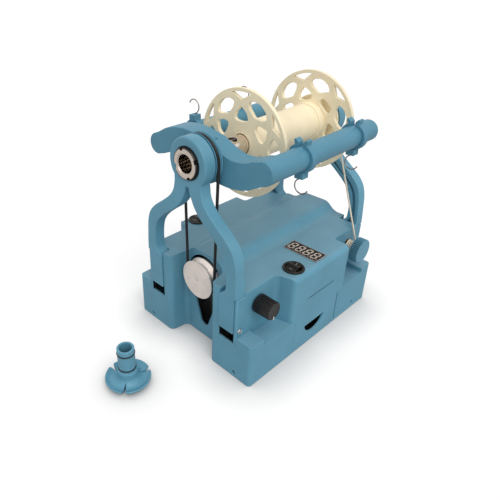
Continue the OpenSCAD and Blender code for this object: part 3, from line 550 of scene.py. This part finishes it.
def flat_shapes(name, loops, thickness):
    """Thin solids from closed loops of points, raised along Z."""
    work = bmesh.new()
    for loop in loops:
        face = work.faces.new([work.verts.new(p) for p in loop])
        raised = bmesh.ops.extrude_face_region(work, geom=[face])["geom"]
        moved = [v for v in raised if isinstance(v, bmesh.types.BMVert)]
        bmesh.ops.translate(work, verts=moved, vec=(0, 0, thickness))
    bmesh.ops.recalc_face_normals(work, faces=work.faces)
    return mesh_of(work, name)


def bar_loop(x, y, length, upright=False):
    """Six corners of one segment, in millimetres about its digit's middle."""
    half, tip = length / 2, bar / 2
    inner = half - tip
    shape = [(-half, 0), (-inner, tip), (inner, tip), (half, 0), (inner, -tip), (-inner, -tip)]
    if upright:
        shape = [(-v, u) for u, v in shape]
    return [(x + u + slant * (y + v), y + v) for u, v in shape]


reach_x, reach_y = digit_w / 2 - bar / 2 + 0.2, digit_h / 2 - bar / 2
segments = [bar_loop(0, y, digit_w - bar - 0.1) for y in (-reach_y, 0, reach_y)]
for x in (-reach_x, reach_x):
    segments += [bar_loop(x, y, reach_y - 0.5, True) for y in (-reach_y / 2, reach_y / 2)]
dot_x, dot_y, dot_r, dot_sides = digit_w / 2 + 1.0, -digit_h / 2 + 0.7, 0.62, 16
rim = [2 * math.pi * i / dot_sides for i in range(dot_sides)]
segments.append([(dot_x + dot_r * math.cos(a), dot_y + dot_r * math.sin(a)) for a in rim])
first_x = display_x - 1.5 * digit_pitch - 0.5
placed = [[Vector((first_x + x, display_y + y, display_top)) * mm for x, y in loop] for loop in segments]
digit = flat_shapes("digit", placed, 0.06 * mm)

row_tree, nodes, wires, row_keys = geometry_tree("row_of_pieces", Count="Int", Step="Vector")
index = nodes.add("GeometryNodeInputIndex")()
along = nodes.add("ShaderNodeVectorMath", {"operation": "SCALE"}, {0: wires("Step"), "Scale": index})()
spots = nodes.add("GeometryNodePoints", {}, {"Count": wires("Count"), "Position": along})()
copies = nodes.add("GeometryNodeInstanceOnPoints", {}, {"Points": spots, "Instance": wires("Geometry")})()
close_tree(nodes, wires, copies)


def milky(name):
    """Unlit segments under a clear face."""
    material, nodes = start(name)
    cloud = nodes.noise(300, 2)
    return surface(
        material, nodes,
        Base_Color=nodes.shades(cloud, (0.46, 0.38, 0.33), (0.56, 0.47, 0.41)),
        Roughness=0.35,
        Coat_Weight=0.3,
    )


def dark_window(name):
    """The display's black face, which reflects little."""
    material, nodes = start(name)
    cloud = nodes.noise(120, 2)
    return surface(
        material, nodes,
        Base_Color=nodes.shades(cloud, (0.004, 0.004, 0.004), (0.008, 0.007, 0.007)),
        Roughness=0.3 + cloud * 0.06,
        Specular_IOR_Level=0.12,
    )


segment_grey = milky("segment_grey")
digits = grown(digit, row_tree, row_keys, Material=segment_grey, Count=4, Step=(digit_pitch * mm, 0, 0))
piece("display_digits", digits, segment_grey, "case", "bezel_plastic")
repaint("display_face", dark_window("display_window"))
frame_grey = printed_plastic("frame_grey", (0.26, 0.22, 0.2), 0.4, (1, 1, 1))
piece("display_frame", eased("display_bezel", 0.15 * mm), frame_grey, "case", "bezel_plastic",
      "display_bezel")

# ---- Round rocker switches ----
# Two snap-in switches, one on each shoulder: power on the right, direction on the left. A black
# nylon bezel with a domed rim holds a paddle that rocks, marked with a bar and a ring.
nylon_black = hard_black("nylon_black", 0.008, 0.24, 1.1, 0.26)
switch_x, switch_y, shoulder = 70.5, -30.0, 100.0
mark_white = printed_plastic("mark_white", (0.3, 0.29, 0.28), 0.5, (1, 1, 1))
bar_half, bar_low, bar_high = 0.3, 3.2, 6.4
ring_y, ring_inner, ring_outer, ring_steps = -4.2, 1.1, 1.6, 24
paddle_z, raised_slope, pressed_slope = 2.2, 1.4 / 7.4, 0.3 / 7.6
mark_lift, mark_depth = 0.01, 0.05


def paddle_rise(y):
    """Height of the paddle's face over the shoulder: steep on its raised half, nearly level on the other."""
    return paddle_z + (raised_slope if y > 0 else pressed_slope) * y


for name, side in (("power", 1), ("direction", -1)):
    centre = Vector((side * switch_x, switch_y, shoulder)) * mm
    body, paddle = name + "_switch_body", name + "_paddle"
    piece(name + "_bezel", eased(body, 0.45 * mm, 30, 3), nylon_black, "case", "black_plastic", body)
    piece(name + "_paddle_cap", eased(name + "_rocker", 0.4 * mm, 20, 3), nylon_black, paddle,
          "black_plastic", name + "_rocker")
    outlines = [[(-bar_half, bar_low), (bar_half, bar_low), (bar_half, bar_high), (-bar_half, bar_high)]]
    for i in range(ring_steps):
        a, b = (2 * math.pi * k / ring_steps for k in (i, i + 1))
        corners = ((a, ring_inner), (a, ring_outer), (b, ring_outer), (b, ring_inner))
        outlines.append([(r * math.cos(t), ring_y + r * math.sin(t)) for t, r in corners])
    loops = []
    for outline in outlines:
        loops.append([centre + Vector((x, y, paddle_rise(y) + mark_lift)) * mm for x, y in outline])
    piece(name + "_marks", flat_shapes(name + "_marks", loops, mark_depth * mm), mark_white, paddle,
          "bezel_plastic")

# ---- Speed control ----
# A rotary control behind the right cheek: zinc body and nut, a steel shaft, and a black fluted knob
# with a white line on its rim and face.
knob_y, knob_z = -78.0, 80.7
repaint("pot_body", can_zinc)
repaint("pot_nut", screw_steel)
repaint("pot_shaft", screw_steel)


def fluted(name, sections, flutes, centre_y, centre_z, spread=0.8, steps=10):
    """A knob about X: sections are (x, radius, flute depth); a flute takes a share of its pitch."""
    work = bmesh.new()
    around = flutes * steps
    rings = []
    for x, radius, depth in sections:
        ring = []
        for i in range(around):
            phase = (i % steps) / steps - 0.5
            dip = depth * math.cos(math.pi * phase / spread) if abs(phase) < spread / 2 else 0.0
            a = 2 * math.pi * i / around
            reach = radius - dip
            spot = Vector((x, centre_y + reach * math.cos(a), centre_z + reach * math.sin(a))) * mm
            ring.append(work.verts.new(spot))
        rings.append(ring)
    skinned(work, rings)
    work.faces.new(rings[0])
    work.faces.new(rings[-1])
    bmesh.ops.recalc_face_normals(work, faces=work.faces)
    return shaded(mesh_of(work, name), 42)


knob_black = hard_black("knob_black", 0.005, 0.2, 1.25, 0.4)
speed_sections = [
    (67.6, 7.2, 0), (67.6, 9.9, 0), (67.9, 10, 0), (69.6, 10, 0), (69.9, 9.95, 0.85), (84.8, 9.7, 0.85),
    (85.8, 9.55, 0.7), (86.25, 9.2, 0.25), (86.45, 8.6, 0), (86.5, 7.9, 0), (86.3, 7.6, 0), (86.3, 1, 0),
]
piece("speed_knob_body", fluted("speed_knob_body", speed_sections, 18, knob_y, knob_z), knob_black,
      "speed_dial", "black_plastic", "speed_knob")
pointer = bmesh.new()
line_half = 0.45
on_rim = ((84.9, -line_half, -9.75), (86.49, line_half, -9.25))
on_face = ((86.3, -line_half, -9.3), (86.52, line_half, -6.2))
for low, high in (on_rim, on_face):
    grow = Matrix.Diagonal([(b - a) * mm for a, b in zip(low, high)] + [1])
    middle = Vector([(a + b) / 2 for a, b in zip(low, high)]) + Vector((0, knob_y, knob_z))
    bmesh.ops.create_cube(pointer, size=1, matrix=Matrix.Translation(middle * mm) @ grow)
pointer_white = printed_plastic("pointer_white", (0.82, 0.8, 0.76), 0.45, (1, 1, 1))
piece("speed_pointer", shaded(mesh_of(pointer, "speed_pointer")), pointer_white, "speed_dial",
      "bezel_plastic")

# ---- Power inlet ----
# A round barrel socket in the rear wall for the power supply's plug: black housing, steel pin.
piece("inlet_body", eased("dc_inlet", 0.3 * mm), moulded_black, "case", "black_plastic", "dc_inlet")

# ---- Flyer ----
# The open flyer: a curved yoke clamped on the orifice tube and two thick round arms that reach back
# past the bobbin. Printed in one piece with the layers across the spindle.
flyer_blue = printed_plastic("flyer_blue", (0.078, 0.246, 0.352), 0.46, (1, 14, 1))
piece("flyer_body", eased("flyer_frame", 1.0 * mm, 34, 3), flyer_blue, "flyer", "blue_plastic", "flyer_frame")

# ---- Orifice tube, notched ring and flyer shaft ----
# A polished steel tube that the yarn enters by, with two side holes near its end. A notched steel
# nut clamps it in the front bearing, and a thinner shaft carries the bobbin behind it.
tube_steel = bright_metal("tube_steel", (0.80, 0.72, 0.66), 0.14, (1, 0.04, 1), 0.35)


def steel_with_shaded_rim(name, bright, dark, centre, inner, outer):
    """Steel ground bright on its face, with painted shade and painted dark reflection round its rim."""
    material, nodes = start(name)
    rim = nodes.distance((1, 0, 1), tuple(centre)).between(inner, outer)
    marks = nodes.noise(500, 3, (1, 0.1, 1))
    return surface(
        material, nodes,
        Base_Color=nodes.shades(rim, bright, dark),
        Metallic=1.0,
        Roughness=0.24 + rim * 0.2 + (marks - 0.5) * 0.2,
        Normal=nodes.bump(marks, 0.00006, 0.4),
    )


# The nut's rim is painted black as shade and dark reflection.
nut_steel = steel_with_shaded_rim("nut_steel", (0.80, 0.70, 0.62), (0.10, 0.09, 0.085), spindle, 13.8 * mm,
                          14.1 * mm)
piece("orifice_pipe", eased("orifice_tube", 0.3 * mm, 34, 3), tube_steel, "flyer", "steel", "orifice_tube")
piece("notched_nut", eased("orifice_ring", 0.35 * mm, 34, 2), nut_steel, "flyer", "steel", "orifice_ring")
repaint("flyer_shaft", tube_steel)
piece("collar", eased("shaft_collar", 0.3 * mm), screw_steel, "flyer", "steel", "shaft_collar")

# ---- Flyer pulley ----
# A narrow grooved pulley behind the front boss that the belt turns, printed in the flyer's blue.
piece("spindle_pulley", eased("flyer_pulley", 0.3 * mm, 30), flyer_blue, "flyer", "blue_plastic",
      "flyer_pulley")

# ---- Bobbin ----
# Cream printed plastic: a plain core between two thin flanges with an openwork of arches, leaves and
# rim windows, and an end whorl with a groove for the brake cord. Brass bushes carry it.
cream = (0.92, 0.80, 0.57)
bobbin_cream = printed_plastic("bobbin_cream", cream, 0.5, (1, 14, 1))
for node, width in (("bobbin_front_flange", 0.45), ("bobbin_rear_flange", 0.45), ("bobbin_core", 0.5),
                    ("bobbin_whorl", 0.35)):
    piece(node + "_print", eased(node, width * mm, 34), bobbin_cream, "bobbin", "cream_plastic", node)
bush_brass = bright_metal("bush_brass", (0.62, 0.43, 0.17), 0.3)
repaint("bobbin_bushes", bush_brass)

# ---- Sliding hooks ----
# Four open clips that grip the arms by their own spring, each with a lug that holds a bent wire
# hook. They slide along the arms to spread the yarn over the bobbin.
arm_off, arm_r, flyer_turn = 69.0, 10.8, math.radians(3.4)
clip_r = arm_r + 3
bend_x, bend_drop, bend_r, bend_first, bend_last, bend_steps = 0.6, 13.2, 7.2, 112, 335, 40
hook_r = 0.62
hook_steel = bright_metal("hook_steel", (0.30, 0.26, 0.24), 0.3, (1, 1, 1), 0.3)
for number, clip_y in enumerate((-34, 50, -34, 44), 1):
    body, clip, hook = "clip_%d" % number, "hook_clip_%d" % number, "hook_wire_%d" % number
    piece(body + "_print", eased(clip, 0.4 * mm, 34), flyer_blue, body, "blue_plastic", clip)
    turn = flyer_turn + (0 if number < 3 else math.pi)
    bend = [(0, -clip_r - 1.5), (0, -clip_r - 4.2)]
    for i in range(bend_steps + 1):
        a = math.radians(bend_first + (bend_last - bend_first) * i / bend_steps)
        bend.append((bend_x + bend_r * math.cos(a), -clip_r - bend_drop + bend_r * math.sin(a)))
    route = []
    for x, z in bend:
        x += arm_off
        across, up = x * math.cos(turn) - z * math.sin(turn), x * math.sin(turn) + z * math.cos(turn)
        route.append(Vector((across, clip_y, spindle_z + up)))
    piece(body + "_wire", wire_mesh(body + "_wire", route, hook_r, hook_steel, 14), hook_steel, body, "wire",
          hook)

# ---- Brake cord ----
# A twisted cotton cord that brakes the bobbin: wound on the tension knob's shaft, up and over the
# whorl's groove, and down to a spring on the far side. Three plies with a soft, slightly hairy face.
peg_y, peg_z, brake_y = 80.0, 79.5, 85.0
coil_r, coil_x0, coil_pitch, coil_turns = 6.3, 68.4, 2.45, 2.75
groove_r, steps_a_turn = 25.3, 24
spring_top = Vector((-37, brake_y, 172))
leave = Vector((coil_x0 + coil_turns * coil_pitch, 0, peg_z + 2 - spindle_z))
touch_right = math.atan2(leave.z, leave.x) + math.acos(groove_r / leave.length)
fall = Vector((spring_top.x, 0, spring_top.z - spindle_z))
touch_left = 2 * math.pi + math.atan2(fall.z, fall.x) - math.acos(groove_r / fall.length)
coil = []
for i in range(int(coil_turns * steps_a_turn) + 1):
    a = math.radians(90 + 360 * i / steps_a_turn)
    x = coil_x0 + coil_pitch * i / steps_a_turn
    coil.append(Vector((x, peg_y + coil_r * math.cos(a), peg_z + coil_r * math.sin(a))))
tail = coil[0] + Vector((0, 3, 0.3))
over = arc(spindle_z, groove_r, brake_y, touch_right, touch_left, 32)
cord_route = [tail] + coil + over + [spring_top]


def spaced(points, step):
    """Points at an even step along a route."""
    out, spare = [points[0].copy()], 0.0
    for a, b in zip(points, points[1:]):
        length = (b - a).length
        place = step - spare
        while place <= length:
            out.append(a.lerp(b, place / length))
            place += step
        spare = length - (place - step)
    return out


def twisted(points, offset, pitch, step, start_angle):
    """A strand that winds round a route at a distance from it."""
    line = spaced(points, step)
    side = None
    out = []
    for i, here in enumerate(line):
        ahead = (line[min(i + 1, len(line) - 1)] - line[max(i - 1, 0)]).normalized()
        if side is None:
            side = ahead.orthogonal().normalized()
        side = (side - ahead * side.dot(ahead)).normalized()
        a = start_angle + 2 * math.pi * i * step / pitch
        out.append(here + (side * math.cos(a) + ahead.cross(side) * math.sin(a)) * offset)
    return out


def cotton(name, colour):
    """Soft cotton, a little hairy and soiled."""
    material, nodes = start(name)
    fibre = nodes.noise(2600, 4)
    soil = nodes.noise(60, 3)
    shade = fibre * 0.6 + soil * 0.4
    return surface(
        material, nodes,
        Base_Color=nodes.shades(shade.between(0.3, 0.7), tinted(colour, 0.82), tinted(colour, 1.08)),
        Roughness=0.88 + (fibre - 0.5) * 0.1,
        Specular_IOR_Level=0.2,
        Sheen_Weight=0.25,
        Normal=nodes.bump(fibre, 0.00025, 0.8),
    )


cotton_cream = cotton("cotton_cream", (0.82, 0.72, 0.58))
ply_off, ply_pitch, ply_step, ply_r, ply_sides, ply_count = 0.46, 5.5, 0.55, 0.54, 7, 3
plies = bmesh.new()
for k in range(ply_count):
    line = twisted(cord_route, ply_off, ply_pitch, ply_step, 2 * math.pi * k / ply_count)
    plies.from_mesh(wire_mesh("ply", line, ply_r, cotton_cream, ply_sides))
cord_mesh = mesh_of(plies, "cord_plies")
cord_mesh.shade_smooth()
piece("cord_plies", cord_mesh, cotton_cream, "case", "cotton_cord", "brake_cord")

# ---- Brake spring and peg ----
# A small steel tension spring keeps the cord tight. A loop at each end holds the cord and a steel
# peg pressed into the rear maiden.
spring_end = Vector((-40, brake_y, 149))
spring_r, spring_wire, spring_turns, first_turn, both_ends = 2.6, 0.42, 10, 3, 9
down = (spring_end - spring_top).normalized()
across = down.cross(Vector((0, 1, 0))).normalized()
third = down.cross(across)
reach = (spring_end - spring_top).length
spring_steps = spring_turns * steps_a_turn
spring_route = [spring_top + down * 0.6]
for i in range(spring_steps + 1):
    a = 2 * math.pi * i / steps_a_turn
    centre = spring_top + down * (first_turn + (reach - both_ends) * i / spring_steps)
    spring_route.append(centre + (across * math.cos(a) + third * math.sin(a)) * spring_r)
spring_route.append(spring_top + down * (reach - 3.4))
piece("spring_coils", wire_mesh("spring_coils", spring_route, spring_wire, screw_steel, 10), screw_steel,
      "case", "steel", "brake_spring")
cord_end, peg_end = spring_top + down * 0.2, spring_end - down * 0.2
for label, middle, radius in (("cord_eye", cord_end, 1.6), ("peg_eye", peg_end, 2.3)):
    angles = [2 * math.pi * i / 32 for i in range(32)]
    eye = [middle + (down * math.cos(a) + across * math.sin(a)) * radius for a in angles]
    piece(label, wire_mesh(label, eye, spring_wire, screw_steel, 10, True), screw_steel, "case", "steel")
piece("peg", eased("spring_peg", 0.25 * mm), screw_steel, "case", "steel", "spring_peg")

# ---- Tension knob and shaft ----
# A large fluted blue knob on a stout peg that the cord winds on. The peg turns stiffly in a brass
# bush in the right cheek.
# The brass bush is painted dark as shade.
repaint("tension_bush", bright_metal("shaded_brass", (0.2, 0.13, 0.06), 0.4))
repaint("tension_shaft", screw_steel)
tension_sections = [
    (77.6, 3.2, 0), (77.6, 13.2, 0), (77.7, 13.9, 0.2), (78.1, 14.5, 1.3), (86.7, 14.5, 1.3),
    (87.2, 14.1, 0.8), (87.45, 13.5, 0.1), (87.5, 12.9, 0), (87.5, 1, 0),
]


def shade_between_ribs(nodes):
    """Painted shade: 1 at the bottom of the knob's flutes and 0 on its ribs and its flat end."""
    ribs = nodes.distance((0, 1, 1), (0, peg_y * mm, peg_z * mm)).between(13.3 * mm, 14.35 * mm)
    return (1 - ribs) * nodes.inside(((78, 0, 0), (86.9, 200, 200)))


# The flute bottoms are painted darker as shade.
knob_blue = printed_plastic("knob_blue", tinted(blue, 1.04), 0.46, (14, 1, 1), painted_shade_part=shade_between_ribs)
piece("tension_knob_body", fluted("tension_knob_body", tension_sections, 44, peg_y, peg_z), knob_blue,
      "tension_dial", "blue_plastic", "tension_knob")

# ---- Loose orifice insert ----
# A short tube with three dished petals that plugs into the orifice to narrow it. Two rubber rings
# in grooves make it grip. Here it stands on the table in front of the spinner.
insert_axis = Vector((-4, -190, 0)) * mm
bore_edge, bore_dark, bore_light = 7.4, 18, 43


def bored_plastic(name, colour):
    """Printed plastic whose bore, upright at the insert's axis, has painted shade that deepens towards its
    bottom.
    """
    material, nodes = start(name)
    inner = nodes.distance((1, 1, 0), tuple(insert_axis)).maths("LESS_THAN", bore_edge * mm)
    height = nodes.add("ShaderNodeSeparateXYZ", {}, {0: nodes.place((1, 1, 1), tuple(insert_axis))})(2)
    # Painted shade, deepest at the bore's bottom.
    bore_shade = inner * (1 - height.between(bore_dark * mm, bore_light * mm))
    grain = nodes.noise(700, 2)
    tone = nodes.shades(grain.between(0.25, 0.75), tinted(colour, 0.92), tinted(colour, 1.12))
    return surface(
        material, nodes,
        Base_Color=nodes.shades(bore_shade, tone, painted_shade_black),
        Roughness=0.45 + (grain - 0.5) * 0.16,
        Specular_IOR_Level=0.42,
        Normal=nodes.bump(nodes.noise(60, 3, (1, 1, 14)) * 0.5 + grain * 0.5, 0.0001, 0.5),
    )


insert_blue = bored_plastic("insert_blue", blue)
piece("insert_print", eased("orifice_insert", 0.2 * mm, 34), insert_blue, "loose_insert", "blue_plastic",
      "orifice_insert")
repaint("insert_seals", black_rubber)

# ---- Studio ----
# A white table that runs to the horizon under one broad soft lamp from the right, an even sky, and
# a camera where the photograph was taken from. The camera sees the table white, with a soft shadow
# close round the object.
shadow_reach, table_half, table_shift = 0.045, 60, 3


def white_ground(name):
    """A grey table that the camera alone sees as white, dimmed near what stands on it."""
    material, nodes = start(name)
    seen = nodes.add("ShaderNodeLightPath")("Is Camera Ray")
    open_sky = nodes.add("ShaderNodeAmbientOcclusion", {"samples": 12}, {"Distance": shadow_reach})("AO")
    lift = open_sky.maths("POWER", 1.6) * seen
    return surface(
        material, nodes,
        Base_Color=nodes.shades(seen, (0.55, 0.55, 0.55), (0.45, 0.45, 0.45)),
        Roughness=1.0,
        Specular_IOR_Level=0.0,
        Emission_Color=nodes.shades(lift, (0, 0, 0), (0.57, 0.57, 0.57)),
        Emission_Strength=1.0,
    )


table = bmesh.new()
bmesh.ops.create_grid(table, x_segments=1, y_segments=1, size=table_half)
bmesh.ops.translate(table, verts=table.verts, vec=(table_shift, 0, -0.0002))
table_mesh = mesh_of(table, "table")
table_mesh.materials.append(white_ground("ground"))
table_top = bpy.data.objects.new("table", table_mesh)
bpy.context.scene.collection.objects.link(table_top)

dim_sky = 0.68
sky = bpy.data.worlds.new("sky")
bpy.context.scene.world = sky
sky.use_nodes = True
sky.node_tree.nodes.clear()
nodes = Nodes(sky.node_tree)
seen = nodes.add("ShaderNodeLightPath")
plain = seen("Is Camera Ray") + seen("Is Glossy Ray") + seen("Is Transmission Ray")
strength = plain.between(0, 1) * (1 - dim_sky) + dim_sky
glow = nodes.add("ShaderNodeBackground", {}, {"Color": (1, 1, 1, 1), "Strength": strength})()
nodes.add("ShaderNodeOutputWorld", {}, {"Surface": glow})

lamp = bpy.data.lights.new("key", "SUN")
lamp.energy = 1.6
lamp.angle = math.radians(50)
lamp.color = (1.0, 0.98, 0.95)
key = bpy.data.objects.new("key", lamp)
key.rotation_euler = Vector((0.70, -0.30, 1.05)).to_track_quat("Z", "Y").to_euler()
bpy.context.scene.collection.objects.link(key)

azimuth, elevation, roll = (math.radians(v) for v in (48.17, 29.96, -0.89))
level = math.cos(elevation)
back = Vector((math.sin(azimuth) * level, -math.cos(azimuth) * level, math.sin(elevation)))
right = Vector((math.cos(azimuth), math.sin(azimuth), 0))
up = back.cross(right)
tilted_right = right * math.cos(roll) + up * math.sin(roll)
tilted_up = up * math.cos(roll) - right * math.sin(roll)
pose = Matrix((tilted_right, tilted_up, back)).transposed().to_4x4()
pose.translation = Vector((297.87, -375.73, 376.05)) * mm
lens = bpy.data.cameras.new("camera")
lens.sensor_fit = "HORIZONTAL"
lens.sensor_width = 36
lens.lens = 34.53
lens.shift_x = 0.124
lens.shift_y = -0.038
lens.clip_start = 0.01
camera = bpy.data.objects.new("camera", lens)
camera.matrix_world = pose
bpy.context.scene.collection.objects.link(camera)
bpy.context.scene.camera = camera
bpy.context.scene.view_settings.view_transform = "Standard"
